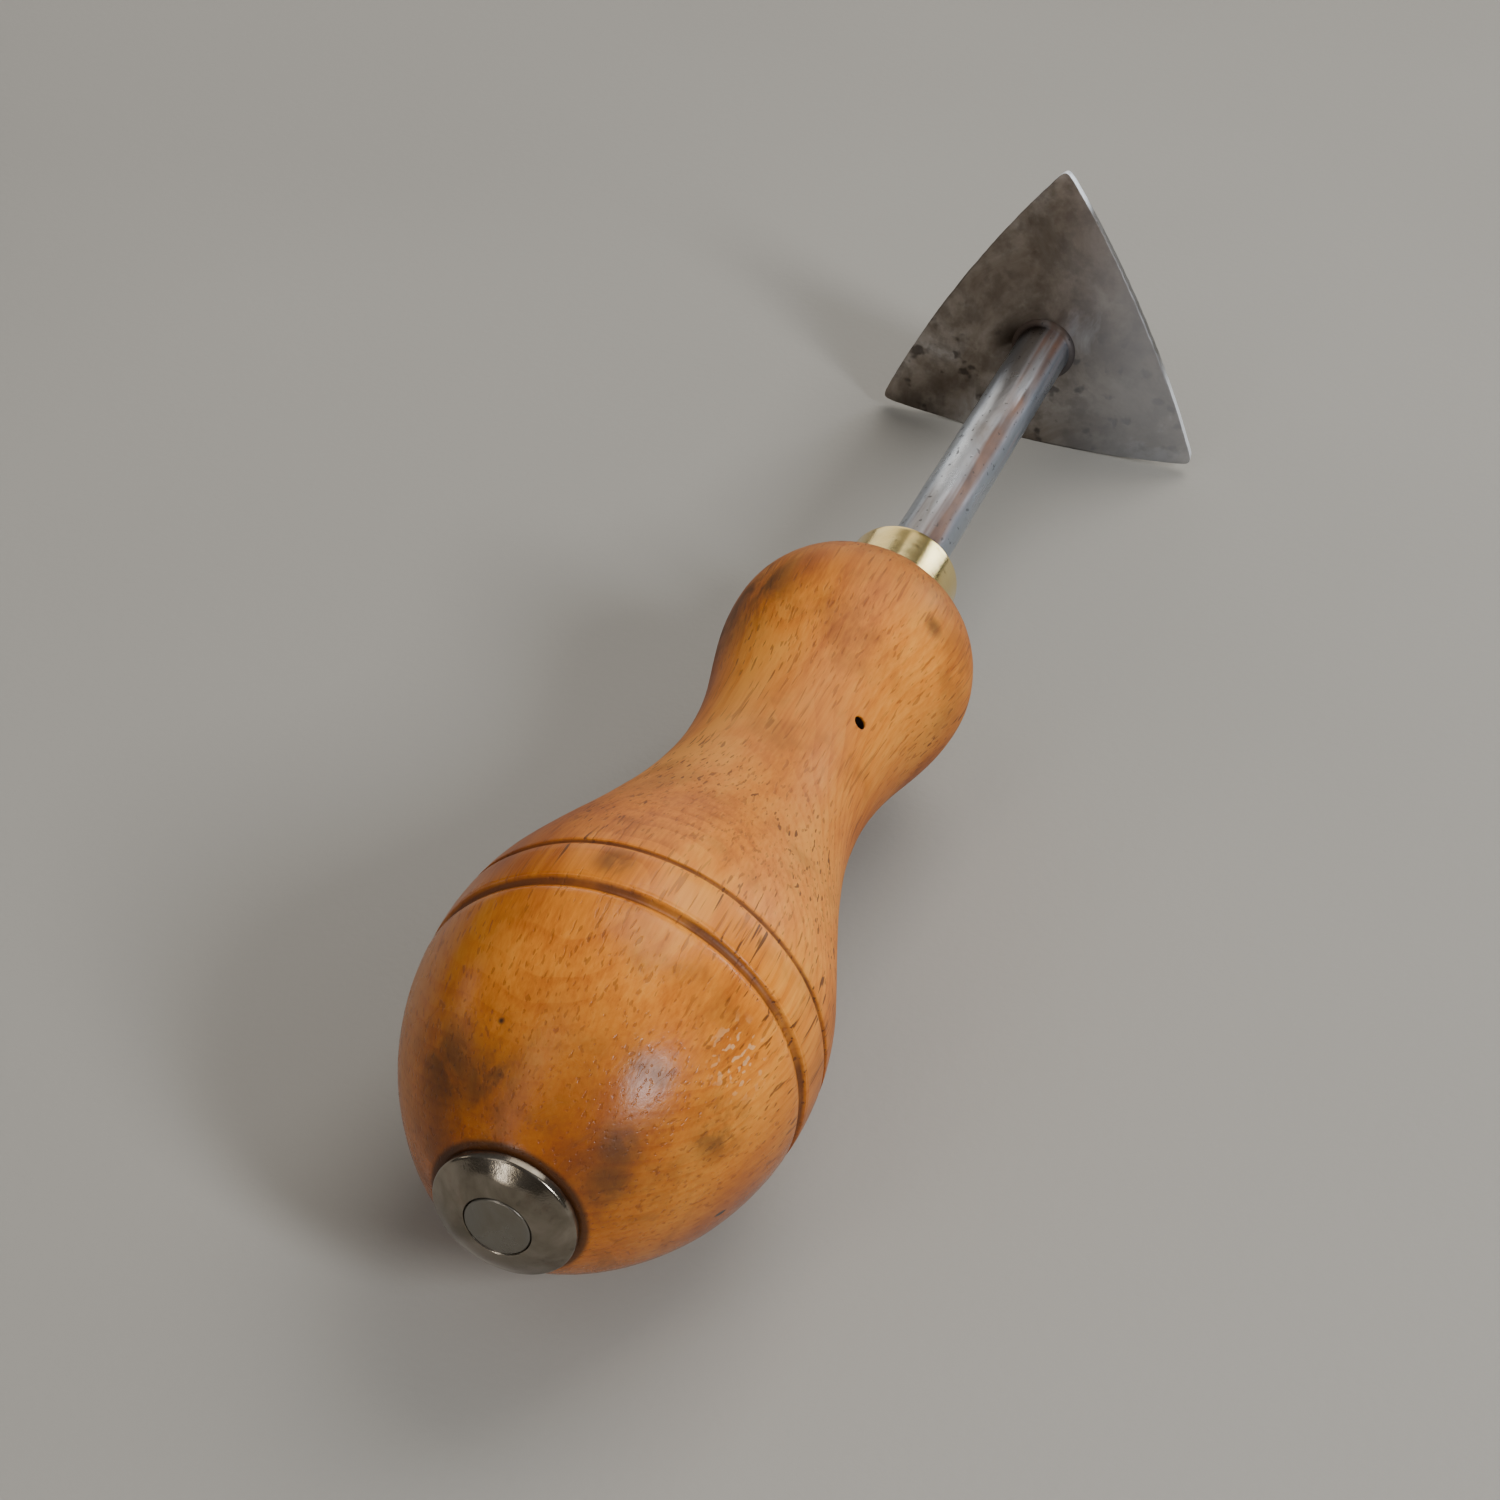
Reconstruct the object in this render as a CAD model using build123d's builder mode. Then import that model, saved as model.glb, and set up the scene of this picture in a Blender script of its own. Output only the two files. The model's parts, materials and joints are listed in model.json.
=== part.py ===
from build123d import *
import os
from math import asin, atan2, cos, hypot, pi, radians, sin, sqrt, tan

# Triangular scraper: a flat triangular blade square on the end of a round shank, with a brass
# ferrule and a turned, pear-shaped handle. Millimetres.
#
# The tool lies as it does on a bench: its belly and the lower edge of its blade touch z = 0, +X
# runs along the bench from the butt to the blade, +Z is up, and the origin is under the middle.
# Each station along the tool is measured on its own axis from the wood's butt face.

# Handle
HANDLE_LENGTH = 121.0
BUTT_RADIUS = 8.0
BELLY_X = 27.5
BELLY_RADIUS = 21.4
BELLY_END_X = 38.0
FLANK_X = 53.0
FLANK_RADIUS = 14.9
WAIST_X = 70.0
WAIST_RADIUS = 11.75
SWELL_X = 85.0
SWELL_RADIUS = 13.2
CROWN_X = 99.0
CROWN_RADIUS = 15.8
CROWN_CURVE = 12.3
WIDE_GROOVE_X = 24.2
WIDE_GROOVE_RADIUS = 0.65
NARROW_GROOVE_X = 30.8
NARROW_GROOVE_RADIUS = 0.35

# Ferrule
FERRULE_RADIUS = 7.45
FERRULE_WALL = 0.75
FERRULE_LENGTH = 11.2
FERRULE_FRONT_X = 121.5
FERRULE_LIP = 0.35

# Shank and the tang that runs through the handle
SHANK_RADIUS = 4.0
SHOULDER_X = 117.0
TANG_RADIUS = 3.0
FOOT_FILLET = 0.9
SPIGOT_RADIUS = 3.0
SPIGOT_HEAD_RADIUS = 3.8
SPIGOT_HEAD_DEPTH = 0.8

# Blade
BLADE_X = 190.0
BLADE_SIDE = 49.6
BLADE_BOW = 1.8
BLADE_THICKNESS = 2.4
BLADE_CORNER = 1.1
BLADE_RELIEF_DEG = 5.0

# Domed washer and the tang's riveted end at the butt
WASHER_RADIUS = 7.5
WASHER_RIM = 1.2
WASHER_CROWN = 2.7
WASHER_SHOULDER = 2.3
WASHER_ROUND = 0.45
RIVET_RADIUS = 3.6
RIVET_DEPTH = 1.4

# Pin across the tang
PIN_X = 77.2
PIN_RADIUS = 0.8
PIN_ANGLE_DEG = 136.0
PIN_TOP = 10.9
PIN_BOTTOM = -8.0
PIN_EDGE = 0.25


def belly_curve():
    """Radius of the arc that runs from the butt face over the belly."""
    rise = BELLY_RADIUS - BUTT_RADIUS
    return (BELLY_X**2 + rise**2) / (2 * rise)


def belly_at(x):
    """Handle radius at station x, on the belly's arc."""
    return BELLY_RADIUS - belly_curve() + sqrt(belly_curve() ** 2 - (x - BELLY_X) ** 2)


def nose_down():
    """Tilt of the tool's axis, with the belly and the blade's lower edge on the bench."""
    along = BLADE_X - BELLY_X
    across = belly_curve() - BELLY_RADIUS + blade_reach
    return asin(belly_curve() / hypot(along, across)) - atan2(across, along)


def blade_corner(turn, inset):
    """A sharp corner of the blade's outline, the outline drawn in by inset."""
    reach = BLADE_SIDE / sqrt(3) - 2 * inset
    return (reach * cos(turn), reach * sin(turn))


def blade_edge_middle(turn, inset):
    """The middle of a bowed edge, half a corner's turn past the corner at turn."""
    reach = blade_reach - inset
    return (reach * cos(turn + pi / 3), reach * sin(turn + pi / 3))


# How far the blade's edges and corners stand from the tool's axis
blade_reach = BLADE_SIDE / (2 * sqrt(3)) + BLADE_BOW
tilt = nose_down()
blade_tip = BLADE_SIDE / sqrt(3) - BLADE_CORNER
front_x = (BLADE_X + BLADE_THICKNESS) * cos(tilt) + blade_tip * sin(tilt)
back_x = -WASHER_CROWN * cos(tilt) - RIVET_RADIUS * sin(tilt)
butt_height = BLADE_X * sin(tilt) + blade_reach * cos(tilt)

# The upright plane through the tool's axis: local x is the station, local y the height above it.
side = Plane(
    origin=(-(front_x + back_x) / 2, 0, butt_height),
    x_dir=(cos(tilt), 0, -sin(tilt)),
    z_dir=(0, -1, 0),
)
axis = Axis(side.origin, side.x_dir)


def cross_plane(x):
    """The plane square to the tool's axis at station x, facing the blade, local y upwards."""
    return Plane(origin=side.from_local_coords((x, 0, 0)), x_dir=(0, 1, 0), z_dir=side.x_dir)


pin_plane = Plane(
    origin=side.from_local_coords((PIN_X, 0, 0)),
    x_dir=side.x_dir,
    z_dir=Vector(0, cos(radians(PIN_ANGLE_DEG)), 0) + side.y_dir * sin(radians(PIN_ANGLE_DEG)),
)

# Stations and radii that follow from the dimensions above
ferrule_back_x = FERRULE_FRONT_X - FERRULE_LENGTH
nose_radius = FERRULE_RADIUS - FERRULE_WALL
crown_centre_r = CROWN_RADIUS - CROWN_CURVE
collar_radius = crown_centre_r + sqrt(CROWN_CURVE**2 - (ferrule_back_x - CROWN_X) ** 2)
belly_end = (BELLY_END_X, belly_at(BELLY_END_X))
belly_centre_r = BELLY_RADIUS - belly_curve()
belly_end_run = (belly_end[1] - belly_centre_r, BELLY_X - BELLY_END_X)

# Turned handle: belly, waist and crown, bored through for the tang, with a nose for the ferrule
with BuildPart() as handle:
    with BuildSketch(side):
        with BuildLine():
            Line((0, TANG_RADIUS), (0, BUTT_RADIUS))
            ThreePointArc((0, BUTT_RADIUS), (BELLY_X, BELLY_RADIUS), belly_end)
            Spline(
                belly_end,
                (FLANK_X, FLANK_RADIUS),
                (WAIST_X, WAIST_RADIUS),
                (SWELL_X, SWELL_RADIUS),
                (CROWN_X, CROWN_RADIUS),
                tangents=(belly_end_run, (1, 0)),
            )
            RadiusArc(
                (CROWN_X, CROWN_RADIUS),
                (ferrule_back_x, collar_radius),
                CROWN_CURVE,
            )
            Polyline(
                (ferrule_back_x, collar_radius),
                (ferrule_back_x, nose_radius),
                (HANDLE_LENGTH, nose_radius),
                (HANDLE_LENGTH, SHANK_RADIUS),
                (SHOULDER_X, SHANK_RADIUS),
                (SHOULDER_X, TANG_RADIUS),
                (0, TANG_RADIUS),
            )
        make_face()
    revolve(axis=axis)
    # Two scored rings on the belly
    with BuildSketch(side):
        with Locations((WIDE_GROOVE_X, belly_at(WIDE_GROOVE_X))):
            Circle(WIDE_GROOVE_RADIUS)
        with Locations((NARROW_GROOVE_X, belly_at(NARROW_GROOVE_X))):
            Circle(NARROW_GROOVE_RADIUS)
    revolve(axis=axis, mode=Mode.SUBTRACT)
    # Hole for the cross pin, open to the side that it was driven from
    with BuildSketch(pin_plane.offset(PIN_BOTTOM)):
        Circle(PIN_RADIUS)
    extrude(amount=WAIST_RADIUS + CROWN_RADIUS, mode=Mode.SUBTRACT)
handle.part.label = "handle"

# Brass ferrule: a short tube over the handle's nose, its front edge rounded
with BuildPart() as ferrule:
    with BuildSketch(cross_plane(ferrule_back_x)):
        Circle(FERRULE_RADIUS)
        Circle(nose_radius, mode=Mode.SUBTRACT)
    extrude(amount=FERRULE_LENGTH)
    front_edges = ferrule.edges().filter_by(GeomType.CIRCLE).group_by(Axis.X)[-1]
    fillet(front_edges, radius=FERRULE_LIP)
ferrule.part.label = "ferrule"

# Shank: riveted butt end, tang, shoulder, bare round shank, flared foot and riveted spigot
with BuildPart() as shank:
    with BuildSketch(side):
        with BuildLine():
            Polyline(
                (BLADE_X, SHANK_RADIUS + FOOT_FILLET),
                (BLADE_X, SPIGOT_RADIUS),
                (BLADE_X + BLADE_THICKNESS - SPIGOT_HEAD_DEPTH, SPIGOT_RADIUS),
                (BLADE_X + BLADE_THICKNESS, SPIGOT_HEAD_RADIUS),
                (BLADE_X + BLADE_THICKNESS, 0),
                (-WASHER_CROWN, 0),
                (-WASHER_CROWN, RIVET_RADIUS),
                (RIVET_DEPTH - WASHER_CROWN, TANG_RADIUS),
                (SHOULDER_X, TANG_RADIUS),
                (SHOULDER_X, SHANK_RADIUS),
                (BLADE_X - FOOT_FILLET, SHANK_RADIUS),
            )
            RadiusArc(
                (BLADE_X - FOOT_FILLET, SHANK_RADIUS),
                (BLADE_X, SHANK_RADIUS + FOOT_FILLET),
                -FOOT_FILLET,
            )
        make_face()
    revolve(axis=axis)
    # Hole through the tang for the cross pin
    with BuildSketch(pin_plane.offset(-2 * TANG_RADIUS)):
        Circle(PIN_RADIUS)
    extrude(amount=4 * TANG_RADIUS, mode=Mode.SUBTRACT)
shank.part.label = "shank"

# Blade: an equilateral triangle with bowed edges, ground back a little towards the front face,
# with a countersunk hole that the shank's spigot is riveted into
relief = BLADE_THICKNESS * tan(radians(BLADE_RELIEF_DEG))
with BuildPart() as blade:
    for station, inset in ((BLADE_X, 0), (BLADE_X + BLADE_THICKNESS, relief)):
        with BuildSketch(cross_plane(station)):
            with BuildLine():
                for step in range(3):
                    turn = pi / 2 + step * 2 * pi / 3
                    ThreePointArc(
                        blade_corner(turn, inset),
                        blade_edge_middle(turn, inset),
                        blade_corner(turn + 2 * pi / 3, inset),
                    )
            outline = make_face()
            fillet(outline.vertices(), radius=BLADE_CORNER)
    loft(ruled=True)
    with BuildSketch(side):
        with BuildLine():
            Polyline(
                (BLADE_X, 0),
                (BLADE_X, SPIGOT_RADIUS),
                (BLADE_X + BLADE_THICKNESS - SPIGOT_HEAD_DEPTH, SPIGOT_RADIUS),
                (BLADE_X + BLADE_THICKNESS, SPIGOT_HEAD_RADIUS),
                (BLADE_X + BLADE_THICKNESS, 0),
                close=True,
            )
        make_face()
    revolve(axis=axis, mode=Mode.SUBTRACT)
blade.part.label = "blade"

# Domed washer under the tang's riveted end, its hole countersunk to hold the rivet
with BuildPart() as butt_washer:
    with BuildSketch(side):
        with BuildLine():
            Polyline(
                (-WASHER_CROWN, RIVET_RADIUS),
                (RIVET_DEPTH - WASHER_CROWN, TANG_RADIUS),
                (0, TANG_RADIUS),
                (0, WASHER_RADIUS),
                (-WASHER_RIM, WASHER_RADIUS),
            )
            ThreePointArc(
                (-WASHER_RIM, WASHER_RADIUS),
                (-WASHER_SHOULDER, (RIVET_RADIUS + WASHER_RADIUS) / 2),
                (-WASHER_CROWN, RIVET_RADIUS),
            )
        make_face()
    revolve(axis=axis)
    rim_edges = butt_washer.edges().filter_by(GeomType.CIRCLE).sort_by(SortBy.RADIUS)[-2:]
    fillet(rim_edges, radius=WASHER_ROUND)
butt_washer.part.label = "butt_washer"

# Steel pin through handle and tang, driven below the wood
with BuildPart() as cross_pin:
    with BuildSketch(pin_plane.offset(PIN_BOTTOM)):
        Circle(PIN_RADIUS)
    extrude(amount=PIN_TOP - PIN_BOTTOM)
    pin_ends = cross_pin.edges().filter_by(GeomType.CIRCLE)
    top_edge = pin_ends.sort_by(Axis(pin_plane.origin, pin_plane.z_dir))[-1]
    chamfer(top_edge, length=PIN_EDGE)
cross_pin.part.label = "cross_pin"

os.makedirs("parts", exist_ok=True)
for piece in (handle, ferrule, shank, blade, butt_washer, cross_pin):
    export_step(piece.part, "parts/" + piece.part.label + ".step")
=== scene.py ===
import json
from math import atan2, cos, degrees, hypot, pi, radians, sin, sqrt, tan

import bmesh
import bpy
import numpy as np
from mathutils import Matrix, Vector, noise


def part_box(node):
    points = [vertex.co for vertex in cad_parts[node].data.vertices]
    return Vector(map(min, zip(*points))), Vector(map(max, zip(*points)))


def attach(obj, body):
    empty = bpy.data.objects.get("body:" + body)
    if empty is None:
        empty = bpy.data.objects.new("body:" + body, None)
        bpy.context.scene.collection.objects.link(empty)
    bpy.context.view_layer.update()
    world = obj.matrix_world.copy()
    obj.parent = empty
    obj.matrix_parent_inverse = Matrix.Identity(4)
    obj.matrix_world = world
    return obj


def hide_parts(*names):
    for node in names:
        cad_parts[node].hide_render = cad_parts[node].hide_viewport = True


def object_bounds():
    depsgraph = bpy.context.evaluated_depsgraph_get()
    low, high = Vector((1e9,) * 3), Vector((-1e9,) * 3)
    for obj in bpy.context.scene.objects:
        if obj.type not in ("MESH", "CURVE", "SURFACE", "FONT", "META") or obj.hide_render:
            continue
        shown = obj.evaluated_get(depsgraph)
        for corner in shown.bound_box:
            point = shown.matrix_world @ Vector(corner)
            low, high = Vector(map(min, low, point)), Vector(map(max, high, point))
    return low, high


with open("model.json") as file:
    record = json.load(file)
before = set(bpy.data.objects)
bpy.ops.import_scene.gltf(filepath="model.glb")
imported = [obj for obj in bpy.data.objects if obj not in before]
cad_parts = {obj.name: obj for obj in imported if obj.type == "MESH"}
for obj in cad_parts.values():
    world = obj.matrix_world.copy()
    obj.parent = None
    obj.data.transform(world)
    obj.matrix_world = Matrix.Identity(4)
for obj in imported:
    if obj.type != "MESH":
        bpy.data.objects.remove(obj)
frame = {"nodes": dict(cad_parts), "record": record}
cad_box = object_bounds()

# ---------------------------------------------------------------- the tool's own frame
# x is the station along the tool from the wood's butt face, z is up across it. Metres.
MM = 0.001
BODY = "root"
mounts = {mount["name"]: mount for mount in frame["record"]["mounts"]}
along = Vector(mounts["blade_face"]["axis"]).normalized()
on_axis = Vector(mounts["grip"]["pos_m"])
left = Vector((0, 1, 0))
tool = Matrix((along, left, along.cross(left))).transposed().to_4x4()
butt_from_grip = min((v.co - on_axis).dot(along) for v in frame["nodes"]["handle"].data.vertices)
tool.translation = on_axis + along * butt_from_grip
to_tool = tool.inverted()


def tool_points(node):
    """A CAD node's vertices in the tool's frame, one to a row."""
    return np.array([to_tool @ v.co for v in frame["nodes"][node].data.vertices])


def measured(node):
    """Stations and radii of a CAD node's vertices, as two arrays."""
    points = tool_points(node)
    return points[:, 0], np.hypot(points[:, 1], points[:, 2])


def middle(node):
    """The middle of a CAD node's box, in the tool's frame."""
    low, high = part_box(node)
    return to_tool @ ((low + high) / 2)


# ---------------------------------------------------------------- mesh helpers
def make_piece(name, points, faces, node, look):
    """A closed mesh, from points in the tool's frame, that stands for a CAD node."""
    mesh = bpy.data.meshes.new(name)
    mesh.from_pydata([tuple(tool @ Vector(point)) for point in points], [], faces)
    shape = bmesh.new()
    shape.from_mesh(mesh)
    bmesh.ops.recalc_face_normals(shape, faces=shape.faces)
    shape.to_mesh(mesh)
    shape.free()
    mesh.shade_smooth()
    mesh.materials.append(look)
    piece = bpy.data.objects.new(name, mesh)
    bpy.context.scene.collection.objects.link(piece)
    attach(piece, BODY)
    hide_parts(node)
    return piece


def joined(here, there):
    """Four-sided faces between two rings of point numbers."""
    faces = []
    for step in range(len(here)):
        after = (step + 1) % len(here)
        faces.append((here[step], here[after], there[after], there[step]))
    return faces


def capped(ring, point):
    """Three-sided faces from a ring of point numbers to one more point."""
    return [(ring[step], ring[(step + 1) % len(ring)], point) for step in range(len(ring))]


def numbered_rings(count, segments):
    """The point numbers of rings that follow one another."""
    return [list(range(ring * segments, (ring + 1) * segments)) for ring in range(count)]


def turned(outline, segments, shape=None):
    """Points and faces of an outline of (station, radius) turned about the tool's axis.

    An outline that starts and ends on the axis closes in two poles, and any other outline is
    closed back to its start. shape(station, radius, turn) moves each point of the surface."""
    poles = outline[0][1] == 0
    rows = outline[1:-1] if poles else outline
    points = []
    for x, r in rows:
        for step in range(segments):
            turn = 2 * pi * step / segments
            px, pr = shape(x, r, turn) if shape else (x, r)
            points.append((px, pr * cos(turn), pr * sin(turn)))
    rings = numbered_rings(len(rows), segments)
    following = rings[1:] if poles else rings[1:] + rings[:1]
    faces = []
    for here, there in zip(rings, following):
        faces += joined(here, there)
    if poles:
        for x, ring in ((outline[0][0], rings[0]), (outline[-1][0], rings[-1])):
            points.append((x, 0, 0))
            faces += capped(ring, len(points) - 1)
    return points, faces


def rounded(corners, steps=5):
    """An outline of (station, radius) from corners of (station, radius, fillet radius)."""
    outline = [corners[0][:2]]
    for before, corner, after in zip(corners, corners[1:], corners[2:]):
        at = Vector(corner[:2])
        back = (Vector(before[:2]) - at).normalized()
        ahead = (Vector(after[:2]) - at).normalized()
        if corner[2] == 0:
            outline.append(tuple(at))
            continue
        half = back.angle(ahead) / 2
        centre = at + (back + ahead).normalized() * corner[2] / sin(half)
        start = at + back * corner[2] / tan(half) - centre
        end = at + ahead * corner[2] / tan(half) - centre
        for step in range(steps + 1):
            outline.append(tuple(centre + start.slerp(end, step / steps) * corner[2]))
    outline.append(corners[-1][:2])
    return outline


def divided(outline, longest):
    """The outline with its long runs cut into steps no longer than longest."""
    result = [outline[0]]
    for start, end in zip(outline, outline[1:]):
        parts = max(1, int(np.ceil(hypot(end[0] - start[0], end[1] - start[1]) / longest)))
        for part in range(1, parts + 1):
            share = part / parts
            result.append(
                (start[0] + (end[0] - start[0]) * share, start[1] + (end[1] - start[1]) * share)
            )
    return result


def without_loose(points, faces):
    """The points that the faces use, and the faces numbered to match them."""
    used = sorted({number for face in faces for number in face})
    renumbered = {old: new for new, old in enumerate(used)}
    return [points[old] for old in used], [tuple(renumbered[old] for old in face) for face in faces]


def wavy(x, y, z, size, height):
    """A smooth random height at a point, with features of about size."""
    return noise.noise(Vector((x, y, z)) / size) * height


# ---------------------------------------------------------------- node helpers
class Look:
    """A node material: one Principled shader, and short calls for the nodes that feed it."""

    def __init__(self, name):
        self.material = bpy.data.materials.new(name)
        self.material.use_nodes = True
        self.tree = self.material.node_tree
        self.shader = self.tree.nodes["Principled BSDF"]
        coords = self.add("ShaderNodeTexCoord")
        self.facing = coords.outputs["Normal"]
        placed = self.add(
            "ShaderNodeMapping",
            {
                "Vector": coords.outputs["Object"],
                "Location": tool.translation,
                "Rotation": tool.to_euler(),
            },
            vector_type="TEXTURE",
        )
        self.place = placed.outputs["Vector"]
        parts = self.add("ShaderNodeSeparateXYZ", {"Vector": self.place})
        self.station, self.across, self.up = parts.outputs

    def add(self, kind, inputs=None, **settings):
        node = self.tree.nodes.new(kind)
        for key, value in settings.items():
            setattr(node, key, value)
        for key, value in (inputs or {}).items():
            self.put(node.inputs[key], value)
        return node

    def put(self, socket, value):
        if isinstance(value, bpy.types.NodeSocket):
            self.tree.links.new(value, socket)
        elif isinstance(value, tuple) and len(value) == 3 and socket.type == "RGBA":
            socket.default_value = (*value, 1.0)
        else:
            socket.default_value = value

    def set(self, **inputs):
        for key, value in inputs.items():
            self.put(self.shader.inputs[key.replace("_", " ")], value)

    def stretched(self, x, y, z):
        """The place, scaled along each axis of the tool."""
        node = self.add("ShaderNodeMapping", {"Vector": self.place, "Scale": (x, y, z)})
        return node.outputs["Vector"]

    def noise(self, vector, scale, detail=3.0, roughness=0.5, distortion=0.0):
        node = self.add(
            "ShaderNodeTexNoise",
            {
                "Vector": vector,
                "Scale": scale,
                "Detail": detail,
                "Roughness": roughness,
                "Distortion": distortion,
            },
        )
        return node.outputs["Fac"]

    def math(self, operation, a, b=0.0):
        return self.add("ShaderNodeMath", {0: a, 1: b}, operation=operation).outputs[0]

    def times(self, a, b):
        return self.math("MULTIPLY", a, b)

    def plus(self, a, b):
        return self.math("ADD", a, b)

    def minus(self, a, b):
        return self.math("SUBTRACT", a, b)

    def strongest(self, *masks):
        """The highest of several masks."""
        highest = masks[0]
        for mask in masks[1:]:
            highest = self.math("MAXIMUM", highest, mask)
        return highest

    def vector(self, operation, a, b=None):
        inputs = {0: a} if b is None else {0: a, 1: b}
        return self.add("ShaderNodeVectorMath", inputs, operation=operation)

    def step(self, value, start, end, low=0.0, high=1.0):
        """value taken smoothly from low at start to high at end."""
        node = self.add(
            "ShaderNodeMapRange",
            {"Value": value, "From Min": start, "From Max": end, "To Min": low, "To Max": high},
            interpolation_type="SMOOTHSTEP",
        )
        return node.outputs["Result"]

    def near(self, value, centre, half, soft):
        """1 where value is within half of centre, 0 further off than half + soft."""
        off = self.math("ABSOLUTE", self.minus(value, centre))
        return self.step(off, half + soft, half)

    def spot(self, point, radius, soft):
        """1 within radius of a point of the tool, 0 further off than radius + soft."""
        off = self.vector("DISTANCE", self.place, point).outputs["Value"]
        return self.step(off, radius + soft, radius)

    def facing_along(self):
        """How squarely the surface faces forward: 1 or -1 on the blade's faces, 0 on its edge."""
        return self.vector("DOT_PRODUCT", self.facing, along).outputs["Value"]

    def mix(self, factor, a, b):
        node = self.add("ShaderNodeMix", data_type="RGBA")
        self.put(node.inputs[0], factor)
        self.put(node.inputs[6], a)
        self.put(node.inputs[7], b)
        return node.outputs[2]

    def ramp(self, value, *stops):
        """A colour ramp of (position, colour) stops."""
        node = self.add("ShaderNodeValToRGB", {"Fac": value})
        ramp = node.color_ramp
        while len(ramp.elements) < len(stops):
            ramp.elements.new(1.0)
        for element, (position, colour) in zip(ramp.elements, stops):
            element.position = position
            element.color = (*colour, 1.0)
        return node.outputs["Color"]

    def bump(self, *layers):
        """Bump from (height, depth in metres) layers, finest last."""
        normal = None
        for height, depth in layers:
            node = self.add("ShaderNodeBump", {"Height": height, "Distance": depth, "Strength": 1.0})
            if normal:
                self.put(node.inputs["Normal"], normal)
            normal = node.outputs["Normal"]
        self.put(self.shader.inputs["Normal"], normal)


# ---------------------------------------------------------------- sizes
# Read from the CAD part
handle_x, handle_r = measured("handle")
ferrule_x, ferrule_r = measured("ferrule")
shank_x, shank_r = measured("shank")
washer_x, washer_r = measured("butt_washer")
blade_points = tool_points("blade")
pin_points = tool_points("cross_pin")
# Vertices this close to an end of a piece count as on it
AT_END = 0.01 * MM

HANDLE_LENGTH = handle_x.max()
TANG_RADIUS = handle_r.min()
FERRULE_BACK, FERRULE_FRONT = ferrule_x.min(), ferrule_x.max()
FERRULE_RADIUS, NOSE_RADIUS = ferrule_r.max(), ferrule_r.min()
SHANK_RADIUS = shank_r[shank_x < FERRULE_BACK + 0.9 * (FERRULE_FRONT - FERRULE_BACK)].max()
RIVET_RADIUS = shank_r[shank_x > shank_x.max() - AT_END].max()
BLADE_BACK, BLADE_FRONT = blade_points[:, 0].min(), blade_points[:, 0].max()
BLADE_THICKNESS = BLADE_FRONT - BLADE_BACK
BLADE_REACH = -blade_points[:, 2].min()

# The cross pin: its place along the tool, its turn about it, its radius and its two ends
PIN_X = middle("cross_pin").x
PIN_TURN = radians(136.0)
PIN_RADIUS = (pin_points[:, 0].max() - pin_points[:, 0].min()) / 2
pin_out = Vector((0, cos(PIN_TURN), sin(PIN_TURN)))
pin_tangent = pin_out.cross(Vector((1, 0, 0))).normalized()
pin_heights = pin_points @ np.array(pin_out)
PIN_TOP, PIN_BOTTOM = pin_heights.max(), pin_heights.min()

# The handle's outline, from the same few sizes as the CAD part's
BUTT_RADIUS = 8.0 * MM
BELLY_X, BELLY_RADIUS = 27.5 * MM, 21.4 * MM
BELLY_END_X = 38.0 * MM
BELLY_CURVE = (BELLY_X**2 + (BELLY_RADIUS - BUTT_RADIUS) ** 2) / (2 * (BELLY_RADIUS - BUTT_RADIUS))
FLANK = (53.0 * MM, 14.9 * MM)
WAIST = (70.0 * MM, 11.75 * MM)
SWELL = (85.0 * MM, 13.2 * MM)
CROWN_X, CROWN_RADIUS, CROWN_CURVE = 99.0 * MM, 15.8 * MM, 12.3 * MM
# The two scored rings: station, half width and depth
WIDE_GROOVE = (24.2 * MM, 0.66 * MM, 0.60 * MM)
NARROW_GROOVE = (30.8 * MM, 0.30 * MM, 0.32 * MM)


# ---------------------------------------------------------------- handle
def clamped_spline(points, slope_start, slope_end):
    """The smooth curve through points of (x, y), with its slopes set at both ends."""
    x, y = np.array(points).T
    h = np.diff(x)
    count = len(x)
    matrix = np.zeros((count, count))
    right = np.zeros(count)
    matrix[0, 0] = matrix[-1, -1] = 1
    right[0], right[-1] = slope_start, slope_end
    for i in range(1, count - 1):
        matrix[i, i - 1 : i + 2] = 1 / h[i - 1], 2 / h[i - 1] + 2 / h[i], 1 / h[i]
        before, after = (y[i] - y[i - 1]) / h[i - 1] ** 2, (y[i + 1] - y[i]) / h[i] ** 2
        right[i] = 3 * (before + after)
    slopes = np.linalg.solve(matrix, right)

    def curve(at):
        i = int(np.clip(np.searchsorted(x, at) - 1, 0, count - 2))
        t = (at - x[i]) / h[i]
        return (
            y[i] * (1 + 2 * t) * (1 - t) ** 2
            + slopes[i] * h[i] * t * (1 - t) ** 2
            + y[i + 1] * t**2 * (3 - 2 * t)
            + slopes[i + 1] * h[i] * t**2 * (t - 1)
        )

    return curve


def belly(x):
    return BELLY_RADIUS - BELLY_CURVE + sqrt(BELLY_CURVE**2 - (x - BELLY_X) ** 2)


def crown(x):
    return CROWN_RADIUS - CROWN_CURVE + sqrt(CROWN_CURVE**2 - (x - CROWN_X) ** 2)


belly_end_slope = (BELLY_X - BELLY_END_X) / sqrt(BELLY_CURVE**2 - (BELLY_END_X - BELLY_X) ** 2)
flank = clamped_spline(
    [(BELLY_END_X, belly(BELLY_END_X)), FLANK, WAIST, SWELL, (CROWN_X, CROWN_RADIUS)],
    belly_end_slope,
    0.0,
)


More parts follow.
